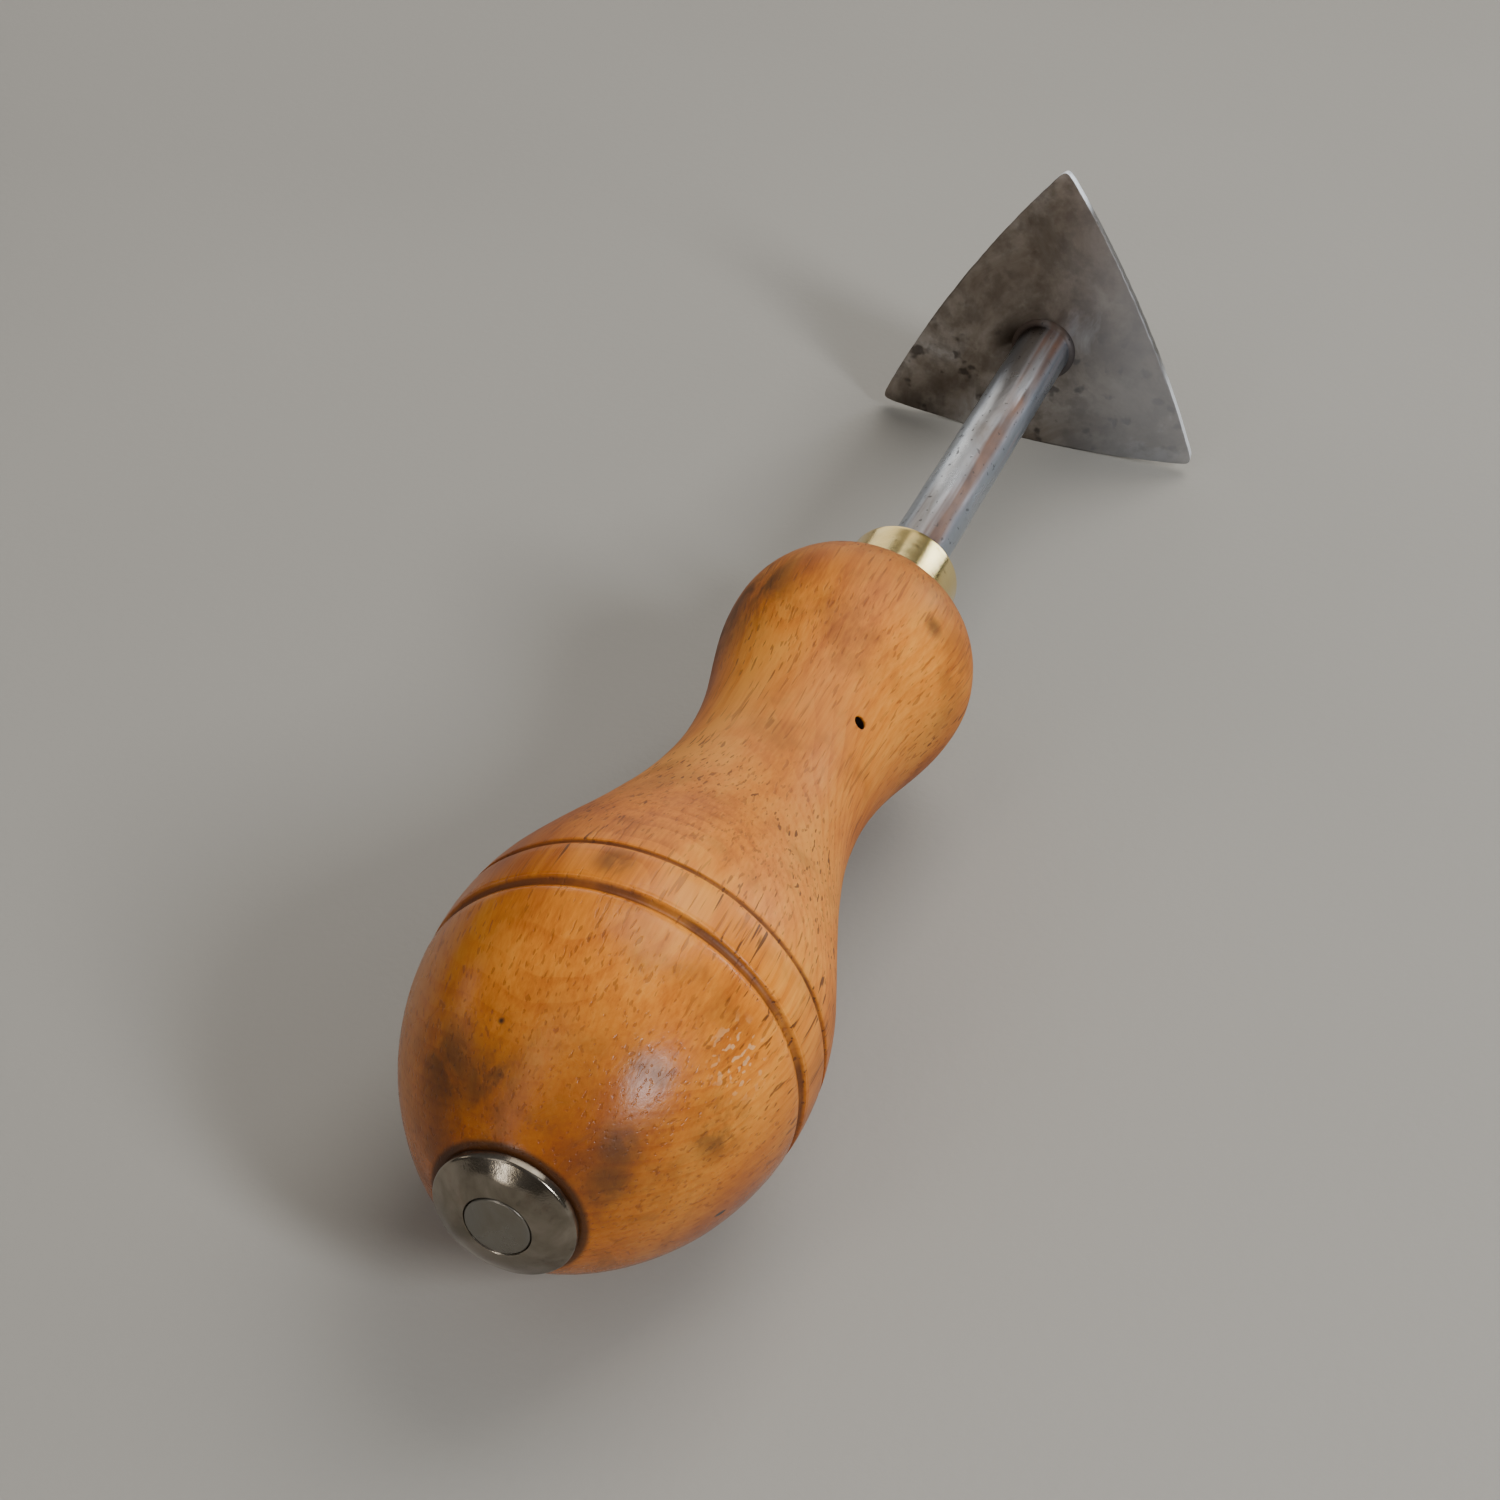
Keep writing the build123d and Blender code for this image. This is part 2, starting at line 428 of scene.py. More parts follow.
def groove(x, station, half, depth):
    """Depth of a scored ring, round at the bottom and a little worn at its lips."""
    off = abs(x - station) / half
    lip = 0.12 * depth * np.exp(-(((off - 1.25) / 0.3) ** 2))
    return depth * sqrt(max(0.0, 1 - off**2)) ** 1.2 + lip


def wood_radius(x):
    """The handle's radius at a station, rings included."""
    if x < BELLY_END_X:
        r = belly(x)
    elif x < CROWN_X:
        r = flank(x)
    else:
        r = crown(x)
    return r - groove(x, *WIDE_GROOVE) - groove(x, *NARROW_GROOVE)


def handle_point(x, turn_degrees):
    """A point on the handle's surface, by station and turn about the tool's axis."""
    turn = radians(turn_degrees)
    r = wood_radius(x)
    return (x, r * cos(turn), r * sin(turn))


# Dents that years of use left: station, turn in degrees, size and depth
DENTS = (
    (8.6 * MM, 73, 0.9 * MM, 0.22 * MM),
    (90.3 * MM, 82, 1.4 * MM, 0.18 * MM),
    (96.0 * MM, 137, 1.3 * MM, 0.22 * MM),
    (72.4 * MM, 163, 1.0 * MM, 0.16 * MM),
    (28.6 * MM, 88, 1.0 * MM, 0.12 * MM),
    (17.0 * MM, 20, 1.5 * MM, 0.15 * MM),
    (44.0 * MM, 215, 1.6 * MM, 0.18 * MM),
    (20.0 * MM, 262, 1.8 * MM, 0.14 * MM),
    (93.0 * MM, 300, 1.4 * MM, 0.16 * MM),
    (58.0 * MM, 340, 1.1 * MM, 0.14 * MM),
)
DENTED = [(handle_point(x, turn), size, depth) for x, turn, size, depth in DENTS]

# Dark marks in the finish: station, turn in degrees and size
MARKS = (
    (4.2 * MM, 72, 3.2 * MM),
    (4.1 * MM, 141, 2.4 * MM),
    (5.6 * MM, 48, 4.2 * MM),
    (2.2 * MM, 152, 2.6 * MM),
    (9.5 * MM, 128, 2.2 * MM),
    (28.0 * MM, 87, 1.9 * MM),
    (90.3 * MM, 82, 1.3 * MM),
    (96.0 * MM, 137, 1.2 * MM),
    (12.0 * MM, 160, 3.0 * MM),
    (50.0 * MM, 250, 4.0 * MM),
    (18.0 * MM, 300, 5.0 * MM),
)
NICK = handle_point(8.6 * MM, 73)
CRACK = handle_point(12.4 * MM, 199)
SCUFFS = handle_point(17 * MM, 147)
CROWN_DARK_PATCH = handle_point(95 * MM, 35)


def worn_wood(x, r, turn):
    """The turned surface with the small unevenness and dents of a used handle.

    The nose inside the ferrule, the bore and the inner part of the butt face stay true."""
    if r < NOSE_RADIUS * 1.05:
        return x, r
    y, z = r * cos(turn), r * sin(turn)
    r -= abs(wavy(x, y, z, 14 * MM, 0.10 * MM)) + abs(wavy(x, y, z, 4 * MM, 0.025 * MM))
    for (dx, dy, dz), size, depth in DENTED:
        off = ((x - dx) ** 2 + (y - dy) ** 2 + (z - dz) ** 2) / size**2
        if off < 6:
            r -= depth * np.exp(-off * 1.6)
    return x, r


def ring_spacing(x):
    """The mesh's step along the handle: short at the scored rings, the pin and both ends."""
    if abs(x - WIDE_GROOVE[0]) < 1.15 * MM:
        return 0.09 * MM
    if abs(x - NARROW_GROOVE[0]) < 0.7 * MM:
        return 0.06 * MM
    if abs(x - PIN_X) < 2.2 * MM:
        return 0.32 * MM
    return 0.35 * MM if x < 2 * MM or x > 106 * MM else 0.9 * MM


def handle_stations():
    """Stations of the rings on the handle's turned surface."""
    stations = [0.0]
    while stations[-1] + ring_spacing(stations[-1]) < FERRULE_BACK - 0.05 * MM:
        stations.append(stations[-1] + ring_spacing(stations[-1]))
    return stations[1:] + [FERRULE_BACK]


def handle_outline():
    """The butt face, the turned surface, the nose in the ferrule and the bore's mouth."""
    butt = [
        (0.0, TANG_RADIUS),
        (0.0, 0.5 * (TANG_RADIUS + BUTT_RADIUS)),
        (0.0, BUTT_RADIUS - 0.5 * MM),
        (0.05 * MM, BUTT_RADIUS - 0.15 * MM),
    ]
    nose = [
        (FERRULE_BACK, NOSE_RADIUS + 0.3 * MM),
        (FERRULE_BACK + 0.1 * MM, NOSE_RADIUS),
        (HANDLE_LENGTH - 0.1 * MM, NOSE_RADIUS),
        (HANDLE_LENGTH, NOSE_RADIUS - 0.1 * MM),
        (HANDLE_LENGTH, SHANK_RADIUS),
        (HANDLE_LENGTH - 3 * MM, SHANK_RADIUS),
        (HANDLE_LENGTH - 4 * MM, TANG_RADIUS),
    ]
    return butt + [(x, wood_radius(x)) for x in handle_stations()] + nose


HANDLE_SEGMENTS = 192
# Rings and segments opened on each side of the pin, to be led down into its hole
HOLE_REACH = 4
HOLE_DEPTH = 8.0 * MM
# Loops of the pin hole, in mm: distance outside the hole, and depth under the surface
HOLE_LOOPS = ((0.34, 0), (0.16, 0), (0.05, 0), (0.0, 0.06), (0.0, 0.3), (0.0, 2.0), (0.0, 8.0))


def hole_border(row, column):
    """Point numbers round the opened block of faces, in order."""
    first_row, last_row = row - HOLE_REACH, row + HOLE_REACH
    first_column, last_column = column - HOLE_REACH, column + HOLE_REACH
    border = [(first_row, j) for j in range(first_column, last_column)]
    border += [(i, last_column) for i in range(first_row, last_row)]
    border += [(last_row, j) for j in range(last_column, first_column, -1)]
    border += [(i, first_column) for i in range(last_row, first_row, -1)]
    return [i * HANDLE_SEGMENTS + j for i, j in border]


def drill_pin_hole(points, faces, row):
    """Open the faces round a row at the pin, and lead their border down into a round hole."""
    column = round(PIN_TURN / (2 * pi) * HANDLE_SEGMENTS)
    opened = {
        i * HANDLE_SEGMENTS + j
        for i in range(row - HOLE_REACH, row + HOLE_REACH)
        for j in range(column - HOLE_REACH, column + HOLE_REACH)
    }
    faces = [face for number, face in enumerate(faces) if number not in opened]
    ring = hole_border(row, column)
    centre = Vector(handle_point(PIN_X, degrees(PIN_TURN)))
    surface_r = hypot(centre.y, centre.z)
    offsets = [Vector(points[number]) - centre for number in ring]
    turns = [atan2(offset.dot(pin_tangent), offset.x) for offset in offsets]
    for flare, depth in HOLE_LOOPS:
        reach = PIN_RADIUS * 1.02 + flare * MM
        loop = []
        for turn in turns:
            side = reach * sin(turn)
            drop = surface_r - sqrt(surface_r**2 - side**2) + depth * MM
            point = centre + Vector((reach * cos(turn), 0, 0)) + pin_tangent * side - pin_out * drop
            if depth == 0:
                point += pin_out * (wood_radius(point.x) - wood_radius(PIN_X))
            loop.append(len(points))
            points.append(tuple(point))
        faces += joined(ring, loop)
        ring = loop
    points.append(tuple(centre - pin_out * HOLE_DEPTH))
    return without_loose(points, faces + capped(ring, len(points) - 1))


def build_handle(look):
    outline = handle_outline()
    points, faces = turned(outline, HANDLE_SEGMENTS, worn_wood)
    pin_row = int(np.argmin([abs(x - PIN_X) for x, r in outline]))
    points, faces = drill_pin_hole(points, faces, pin_row)
    return make_piece("turned_handle", points, faces, "handle", look)


# ---------------------------------------------------------------- wood look
RING_WIDTH = 1.0 * MM
PITH = (0.0, -4 * MM, -30 * MM)


def growth_rings(wood):
    """Late wood in lines round a pith that lies under the tool, warped and fading in places."""
    warp = wood.noise(wood.stretched(22, 40, 40), 1.0, 2.0)
    sloped = wood.add("ShaderNodeMapping", {"Vector": wood.place, "Rotation": (0, radians(6), 0)})
    squashed = wood.vector("MULTIPLY", sloped.outputs["Vector"], (0.03, 1.0, 1.0))
    from_pith = wood.vector("DISTANCE", squashed.outputs["Vector"], PITH).outputs["Value"]
    reach = wood.plus(from_pith, wood.times(warp, 7 * MM))
    ring = wood.math("FRACT", wood.times(reach, 1 / RING_WIDTH))
    late = wood.times(wood.step(ring, 0.45, 0.93), wood.step(ring, 1.0, 0.94))
    fading = wood.noise(wood.stretched(24, 60, 60), 1.0, 1.0)
    return wood.times(late, wood.step(fading, 0.38, 0.66, 0.010, 0.060))


def grain_colour(wood, blotch, fine):
    """Patches, streaks and fine lines along the grain, darker at the growth rings."""
    streak = wood.noise(wood.stretched(34, 620, 620), 1.0, 3.0, 0.6)
    tone = wood.plus(wood.times(blotch, 0.60), wood.times(streak, 0.22))
    tone = wood.plus(tone, wood.times(fine, 0.20))
    return wood.ramp(
        wood.minus(tone, growth_rings(wood)),
        (0.34, (0.380, 0.092, 0.010)),
        (0.43, (0.590, 0.160, 0.014)),
        (0.52, (0.760, 0.238, 0.020)),
        (0.64, (0.890, 0.340, 0.042)),
    )


def ray_masks(wood):
    """Beech's rays: many fine flecks, and fewer long dark ones, thicker in some patches."""
    fleck = wood.step(wood.noise(wood.stretched(150, 2300, 2300), 1.0, 1.0, 0.4), 0.62, 0.70)
    long_ray = wood.step(wood.noise(wood.stretched(85, 1900, 1900), 1.0, 1.5, 0.45), 0.635, 0.69)
    patch = wood.step(wood.noise(wood.place, 60.0, 2.0), 0.40, 0.60)
    long_ray = wood.times(long_ray, wood.plus(wood.times(patch, 0.80), 0.20))
    past_butt = wood.step(wood.station, 8 * MM, 26 * MM, 0.30, 1.0)
    return fleck, wood.times(long_ray, past_butt)


def dirt_mask(wood):
    """Dirt by the butt, round the collar and in marks, and a darker patch on the crown's left, under
    a thin haze.
    """
    smear = wood.noise(wood.stretched(110, 150, 150), 1.0, 5.0, 0.65, 0.8)
    butt = wood.times(wood.step(wood.station, 15 * MM, 2 * MM), wood.step(smear, 0.42, 0.66))
    collar = wood.times(wood.step(wood.station, 98 * MM, 108 * MM), wood.step(smear, 0.25, 0.65))
    # A darker patch on the crown's left, broken up by the smear
    crown_patch = wood.times(wood.spot(CROWN_DARK_PATCH, 4 * MM, 9 * MM), wood.step(smear, 0.30, 0.62))
    spots = [
        wood.spot(handle_point(station, turn), size * 0.3, size * 1.5)
        for station, turn, size in MARKS
    ]
    marks = wood.times(wood.strongest(*spots), wood.step(smear, 0.28, 0.62))
    haze = wood.step(wood.noise(wood.place, 95.0, 4.0, 0.6), 0.50, 0.70)
    return wood.strongest(
        wood.times(butt, 0.40),
        wood.times(collar, 0.50),
        wood.times(crown_patch, 0.78),
        wood.times(marks, 0.70),
        wood.times(haze, 0.28),
    )


def aged_finish_and_shade_mask(wood, blotch):
    """Old finish, gone red-brown by the butt and the collar, and painted shade on the tool's left
    and underneath.
    """
    aged_and_shade = wood.strongest(
        wood.step(wood.station, 18 * MM, 1 * MM, 0.0, 0.92),
        wood.step(wood.station, 89 * MM, 106 * MM, 0.0, 0.72),
        # Painted shade: darker towards the tool's left side and towards its underside
        wood.step(wood.across, 2 * MM, 16 * MM, 0.0, 0.88),
        wood.step(wood.up, 11 * MM, -8 * MM, 0.0, 0.90),
        wood.times(wood.near(wood.station, 62 * MM, 10 * MM, 20 * MM), 0.30),
    )
    return wood.times(aged_and_shade, wood.step(blotch, 0.25, 0.60, 1.0, 0.65))


def scored_mask(wood):
    """Old finish caught in the two scored rings, worn away in places."""
    wide = wood.near(wood.station, WIDE_GROOVE[0], 0.42 * MM, 0.30 * MM)
    narrow = wood.near(wood.station, NARROW_GROOVE[0], 0.16 * MM, 0.20 * MM)
    worn = wood.step(wood.noise(wood.place, 130.0, 2.0), 0.30, 0.60, 0.60, 0.95)
    return wood.times(wood.strongest(wide, narrow), worn)


def damaged(wood, colour):
    """The colour with a nick and a crack near the butt, and pale scuffs by the wide ring."""
    nick = wood.spot(NICK, 0.10 * MM, 0.42 * MM)
    from_crack = wood.vector("SUBTRACT", wood.place, CRACK).outputs["Vector"]
    lengthwise = wood.vector("MULTIPLY", from_crack, (0.10, 1.0, 1.0)).outputs["Vector"]
    crack = wood.step(wood.vector("LENGTH", lengthwise).outputs["Value"], 0.45 * MM, 0.20 * MM)
    colour = wood.mix(wood.strongest(nick, crack), colour, (0.030, 0.016, 0.010))
    scuff = wood.step(wood.noise(wood.stretched(900, 1700, 1700), 1.0, 1.0), 0.57, 0.64)
    scuff = wood.times(scuff, wood.spot(SCUFFS, 1.5 * MM, 3.5 * MM))
    return wood.mix(wood.times(scuff, 0.5), colour, (0.850, 0.540, 0.270))


def wood_look():
    """Old beech: orange-brown, with fine dark flecks along the grain, dirt and worn varnish."""
    wood = Look("beech")
    blotch = wood.noise(wood.stretched(30, 48, 48), 1.0, 3.0, 0.55, 0.4)
    fine = wood.noise(wood.stretched(130, 2600, 2600), 1.0, 2.0, 0.55)
    fleck, long_ray = ray_masks(wood)
    dirt = dirt_mask(wood)
    scored = scored_mask(wood)
    colour = grain_colour(wood, blotch, fine)
    colour = wood.mix(wood.times(fleck, 0.45), colour, (0.200, 0.058, 0.014))
    colour = wood.mix(wood.times(long_ray, 0.85), colour, (0.070, 0.027, 0.012))
    # Red-brown old finish, with painted shade on the left and underneath
    colour = wood.mix(aged_finish_and_shade_mask(wood, blotch), colour, (0.185, 0.041, 0.011))
    colour = wood.mix(dirt, colour, (0.052, 0.028, 0.013))
    colour = damaged(wood, colour)
    colour = wood.mix(wood.times(scored, 0.95), colour, (0.120, 0.036, 0.012))
    # Painted shade: the inside of the pin hole painted near-black
    hole_mouth = Vector((PIN_X, 0, 0)) + pin_out * (WAIST[1] - 0.6 * MM)
    hole = wood.spot(tuple(hole_mouth), 0.95 * MM, 0.20 * MM)
    colour = wood.mix(hole, colour, (0.012, 0.006, 0.004))
    butt_joint = wood.step(wood.station, 0.4 * MM, 0.1 * MM, 0.0, 0.80)
    colour = wood.mix(butt_joint, colour, (0.030, 0.016, 0.009))
    gloss = wood.noise(wood.stretched(60, 60, 60), 1.0, 4.0, 0.6)
    rough = wood.plus(wood.step(gloss, 0.3, 0.7, 0.21, 0.31), wood.times(dirt, 0.14))
    rough = wood.plus(rough, wood.step(wood.station, 18 * MM, 44 * MM, 0.0, 0.24))
    rough = wood.plus(rough, wood.times(scored, 0.15))
    wood.set(Base_Color=colour, Roughness=rough, Specular_IOR_Level=0.24)
    wood.bump(
        (wood.noise(wood.place, 300.0, 3.0), 0.03 * MM),
        (fine, 0.020 * MM),
        (wood.minus(1.0, wood.strongest(fleck, long_ray)), 0.02 * MM),
    )
    return wood.material


# ---------------------------------------------------------------- metal looks
def steel_look(name, bright, dull, roughness, brown, pits):
    """Bare old steel: two greys in patches, brown streaks along the tool, pits and scratches."""
    steel = Look(name)
    patch = steel.noise(steel.stretched(90, 160, 160), 1.0, 4.0, 0.6, 0.5)
    streak = steel.noise(steel.stretched(28, 420, 420), 1.0, 3.0, 0.6)
    rusty = steel.times(steel.step(streak, 0.54, 0.70), brown)
    speck = steel.step(steel.noise(steel.stretched(700, 900, 900), 1.0, 2.0), 0.64, 0.72)
    speck = steel.times(speck, pits)
    scratch = steel.noise(steel.stretched(130, 5200, 5200), 1.0, 2.0, 0.6)
    colour = steel.mix(steel.step(patch, 0.32, 0.68), dull, bright)
    colour = steel.mix(rusty, colour, (0.150, 0.062, 0.028))
    colour = steel.mix(speck, colour, (0.040, 0.034, 0.030))
    rough = steel.step(patch, 0.3, 0.7, roughness + 0.08, roughness)
    rough = steel.plus(rough, steel.times(rusty, 0.30))
    rough = steel.plus(rough, steel.times(speck, 0.25))
    steel.set(Base_Color=colour, Metallic=1.0, Roughness=rough)
    steel.bump(
        (steel.noise(steel.place, 260.0, 3.0), 0.06 * MM),
        (scratch, 0.010 * MM),
        (steel.minus(1.0, speck), 0.03 * MM),
    )
    return steel.material


def shank_brown_line_and_rust(steel, bare):
    """A dark brown line along the shank's upper right, and rust streaks elsewhere on its bare part.
    """
    streak = steel.noise(steel.stretched(16, 330, 330), 1.0, 3.0, 0.55)
    side = steel.near(steel.across, -1.9 * MM, 0.8 * MM, 1.1 * MM)
    top = steel.step(steel.up, 0.5 * MM, 2.0 * MM)
    line = steel.times(steel.times(side, top), steel.step(streak, 0.30, 0.52))
    return steel.times(steel.strongest(line, steel.step(streak, 0.58, 0.70, 0.0, 0.8)), bare)


def foot_scale(steel, foot_edge):
    """Dark scale on the shank behind the blade, thickest on its left and at the foot's edge."""
    foot = steel.step(steel.station, BLADE_BACK - 5 * MM, BLADE_BACK - 0.6 * MM)
    foot = steel.times(foot, steel.step(steel.across, -2.5 * MM, 1.5 * MM, 0.15, 0.96))
    behind_blade = steel.step(steel.station, BLADE_FRONT, BLADE_BACK)
    return steel.times(steel.strongest(foot, foot_edge), behind_blade)


def shank_look():
    """The shank: bright, with painted bluish reflections along its sides, tan and dark brown
    streaks, some of them rust, dark at its foot.
    """
    steel = Look("shank_steel")
    bare = steel.step(steel.station, FERRULE_FRONT - 2 * MM, FERRULE_FRONT)
    brown_line_and_rust = shank_brown_line_and_rust(steel, bare)
    foot_edge = steel.step(steel.station, BLADE_BACK - 1.0 * MM, BLADE_BACK - 0.4 * MM, 0.0, 0.85)
    pits = steel.step(steel.noise(steel.stretched(900, 1500, 1500), 1.0, 1.0, 0.5), 0.66, 0.74)
    pits = steel.times(pits, steel.times(bare, 0.6))
    patch = steel.noise(steel.stretched(60, 260, 260), 1.0, 4.0, 0.6, 0.5)
    colour = steel.ramp(
        patch, (0.30, (0.28, 0.25, 0.23)), (0.50, (0.44, 0.44, 0.45)), (0.70, (0.58, 0.60, 0.63))
    )
    # Painted reflection: bluish bands along the shank's left and its far right
    painted_blue_reflection = steel.strongest(
        steel.step(steel.across, 0.6 * MM, 2.6 * MM, 0.0, 0.70),
        steel.step(steel.across, -2.5 * MM, -3.5 * MM, 0.0, 0.80),
    )
    brown_colour = steel.ramp(
        steel.noise(steel.stretched(120, 300, 300), 1.0, 3.0),
        (0.35, (0.070, 0.034, 0.022)),
        (0.62, (0.170, 0.070, 0.032)),
    )
    colour = steel.mix(painted_blue_reflection, colour, (0.400, 0.465, 0.560))
    colour = steel.mix(steel.times(brown_line_and_rust, 0.92), colour, brown_colour)
    colour = steel.mix(foot_scale(steel, foot_edge), colour, (0.070, 0.045, 0.032))
    colour = steel.mix(pits, colour, (0.055, 0.050, 0.048))
    # Painted dark reflection: the riveted end darkened as if it reflected a dark floor
    riveted_butt = steel.step(steel.station, 1 * MM, -1 * MM, 0.0, 0.85)
    colour = steel.mix(riveted_butt, colour, (0.190, 0.168, 0.130))
    rough = steel.step(patch, 0.3, 0.7, 0.36, 0.24)
    rough = steel.plus(rough, steel.times(brown_line_and_rust, 0.22))
    rough = steel.plus(rough, steel.times(pits, 0.20))
    rough = steel.plus(rough, steel.times(foot_edge, 0.30))
    metal = steel.minus(1.0, steel.times(brown_line_and_rust, 0.60))
    steel.set(Base_Color=colour, Metallic=metal, Roughness=rough)
    steel.bump(
        (steel.noise(steel.stretched(160, 320, 320), 1.0, 3.0), 0.10 * MM),
        (steel.noise(steel.stretched(60, 3800, 3800), 1.0, 2.0), 0.012 * MM),
        (steel.minus(1.0, pits), 0.04 * MM),
    )
    return steel.material


def patina_colour(steel, cloud, blotch):
    """Brown-grey clouds, dark round the blade's root, mottled and blotched low down."""
    colour = steel.ramp(
        cloud,
        (0.30, (0.150, 0.116, 0.088)),
        (0.46, (0.250, 0.212, 0.176)),
        (0.58, (0.340, 0.305, 0.275)),
        (0.72, (0.500, 0.480, 0.470)),
    )
    root = steel.spot((BLADE_BACK, 3.6 * MM, 0.0), 1.5 * MM, 4.5 * MM)
    root = steel.times(root, steel.step(cloud, 0.66, 0.42, 0.45, 1.0))
    colour = steel.mix(root, colour, (0.026, 0.017, 0.012))
    mottle = steel.step(steel.noise(steel.place, 260.0, 4.0, 0.6), 0.38, 0.60, 0.50, 0.0)
    colour = steel.mix(mottle, colour, (0.090, 0.070, 0.054))
    return steel.mix(blotch, colour, (0.040, 0.032, 0.028))


def painted_sheen_mask(steel, cloud):
    """Painted bluish sheen on the blade: by its root, at its lower right and over its right."""
    by_root = steel.spot((BLADE_BACK, -6.5 * MM, 4.5 * MM), 1.0 * MM, 5.5 * MM)
    lower_right = steel.spot((BLADE_BACK, -18 * MM, -11 * MM), 2.0 * MM, 9 * MM)
    painted_sheen = steel.strongest(by_root, lower_right)
    painted_sheen = steel.times(painted_sheen, steel.step(cloud, 0.35, 0.62, 0.25, 0.85))
    return steel.strongest(painted_sheen, steel.step(steel.across, 2 * MM, -16 * MM, 0.0, 0.55))


def blade_look():
    """The blade: a brown-grey patina, darker round its root, with a painted bluish sheen, its edge
    honed and painted as a highlight by the corners.
    """
    steel = Look("blade_steel")
    cloud = steel.noise(steel.stretched(75, 75, 75), 1.0, 5.0, 0.62, 0.7)
    low_down = steel.step(steel.up, 8 * MM, -4 * MM)
    blotch = steel.step(steel.noise(steel.place, 380.0, 2.0, 0.5), 0.58, 0.70)
    blotch = steel.times(blotch, steel.plus(steel.times(low_down, 0.50), 0.22))
    painted_sheen = painted_sheen_mask(steel, cloud)
    edge = steel.step(steel.math("ABSOLUTE", steel.facing_along()), 0.80, 0.45)
    by_corners = steel.strongest(
        steel.step(steel.up, 3 * MM, -4 * MM), steel.step(steel.up, 22 * MM, 25 * MM)
    )
    # The edge by the corners: honed steel, painted near-white and less metallic as a highlight
    honed_and_highlight = steel.times(edge, by_corners)
    colour = patina_colour(steel, cloud, blotch)
    # Painted sheen: bluish-bright patches by the root, at the lower right and over the right
    colour = steel.mix(painted_sheen, colour, (0.540, 0.560, 0.610))
    colour = steel.mix(steel.times(edge, 0.85), colour, (0.105, 0.092, 0.080))
    colour = steel.mix(honed_and_highlight, colour, (0.860, 0.885, 0.920))
    rough = steel.minus(steel.step(cloud, 0.3, 0.7, 0.50, 0.38), steel.times(painted_sheen, 0.10))
    metal = steel.minus(0.90, steel.times(honed_and_highlight, 0.45))
    steel.set(Base_Color=colour, Metallic=metal, Roughness=rough)
    steel.bump(
        (steel.noise(steel.place, 180.0, 4.0, 0.6), 0.12 * MM),
        (steel.noise(steel.stretched(1500, 420, 2600), 1.0, 2.0), 0.012 * MM),
        (steel.minus(1.0, blotch), 0.04 * MM),
    )
    return steel.material


def brass_look():
    """Polished brass with fine turning lines and a little tarnish by the wood."""
    brass = Look("brass")
    cloud = brass.noise(brass.stretched(90, 130, 130), 1.0, 4.0, 0.6)
    joint = brass.step(brass.station, FERRULE_BACK + 1.2 * MM, FERRULE_BACK)
    spots = brass.step(brass.noise(brass.place, 900.0, 2.0), 0.66, 0.72)
    colour = brass.mix(brass.step(cloud, 0.35, 0.70), (0.740, 0.540, 0.190), (0.850, 0.680, 0.310))
    colour = brass.mix(brass.times(joint, 0.7), colour, (0.120, 0.070, 0.030))
    colour = brass.mix(brass.times(spots, 0.5), colour, (0.200, 0.120, 0.050))
    rough = brass.plus(brass.step(cloud, 0.3, 0.7, 0.20, 0.12), brass.times(joint, 0.2))
    brass.set(Base_Color=colour, Metallic=1.0, Roughness=rough)
    brass.bump(
        (brass.noise(brass.place, 240.0, 2.0), 0.03 * MM),
        (brass.noise(brass.stretched(9000, 30, 30), 1.0, 2.0), 0.006 * MM),
    )
    return brass.material


# ---------------------------------------------------------------- metal pieces
def build_ferrule(look):
    wall = NOSE_RADIUS
    corners = [
        (FERRULE_BACK, wall, 0),
        (FERRULE_BACK, FERRULE_RADIUS, 0.15 * MM),
        (FERRULE_FRONT, FERRULE_RADIUS, 0.32 * MM),
        (FERRULE_FRONT, wall, 0.2 * MM),
        (FERRULE_BACK, wall, 0),
    ]
    outline = divided(rounded(corners), 0.5 * MM)[:-1]

    def dinged(x, r, turn):
        if r < (wall + FERRULE_RADIUS) / 2:
            return x, r
        return x, r - abs(wavy(x, r * cos(turn), r * sin(turn), 3.5 * MM, 0.012 * MM))

    points, faces = turned(outline, 144, dinged)
    return make_piece("brass_ferrule", points, faces, "ferrule", look)


def build_shank(look):
    butt = shank_x.min()
    butt_rivet = shank_r[shank_x < butt + AT_END].max()
    shoulder = HANDLE_LENGTH - 4 * MM
    foot = shank_r.max()
    foot_fillet = foot - SHANK_RADIUS - 0.02 * MM
    corners = [
        (butt, 0, 0),
        (butt, butt_rivet, 0.26 * MM),
        (butt + 1.4 * MM, TANG_RADIUS, 0),
        (shoulder, TANG_RADIUS, 0),
        (shoulder, SHANK_RADIUS, 0.2 * MM),
        (BLADE_BACK - 0.03 * MM, SHANK_RADIUS, foot_fillet),
        (BLADE_BACK - 0.03 * MM, foot, 0),
        (BLADE_BACK, foot, 0),
        (BLADE_BACK, TANG_RADIUS, 0),
        (BLADE_FRONT - 0.8 * MM, TANG_RADIUS, 0),
        (BLADE_FRONT, RIVET_RADIUS, 0.12 * MM),
        (BLADE_FRONT, 0, 0),
    ]
    outline = divided(rounded(corners, 7), 1.2 * MM)

    def forged(x, r, turn):
        bare = SHANK_RADIUS * 0.9 < r and FERRULE_FRONT - 1 * MM < x < BLADE_BACK - 0.1 * MM
        if not bare:
            return x, r
        return x, r - abs(wavy(x * 0.35, r * cos(turn), r * sin(turn), 4 * MM, 0.09 * MM))

    points, faces = turned(outline, 96, forged)
    return make_piece("steel_shank", points, faces, "shank", look)


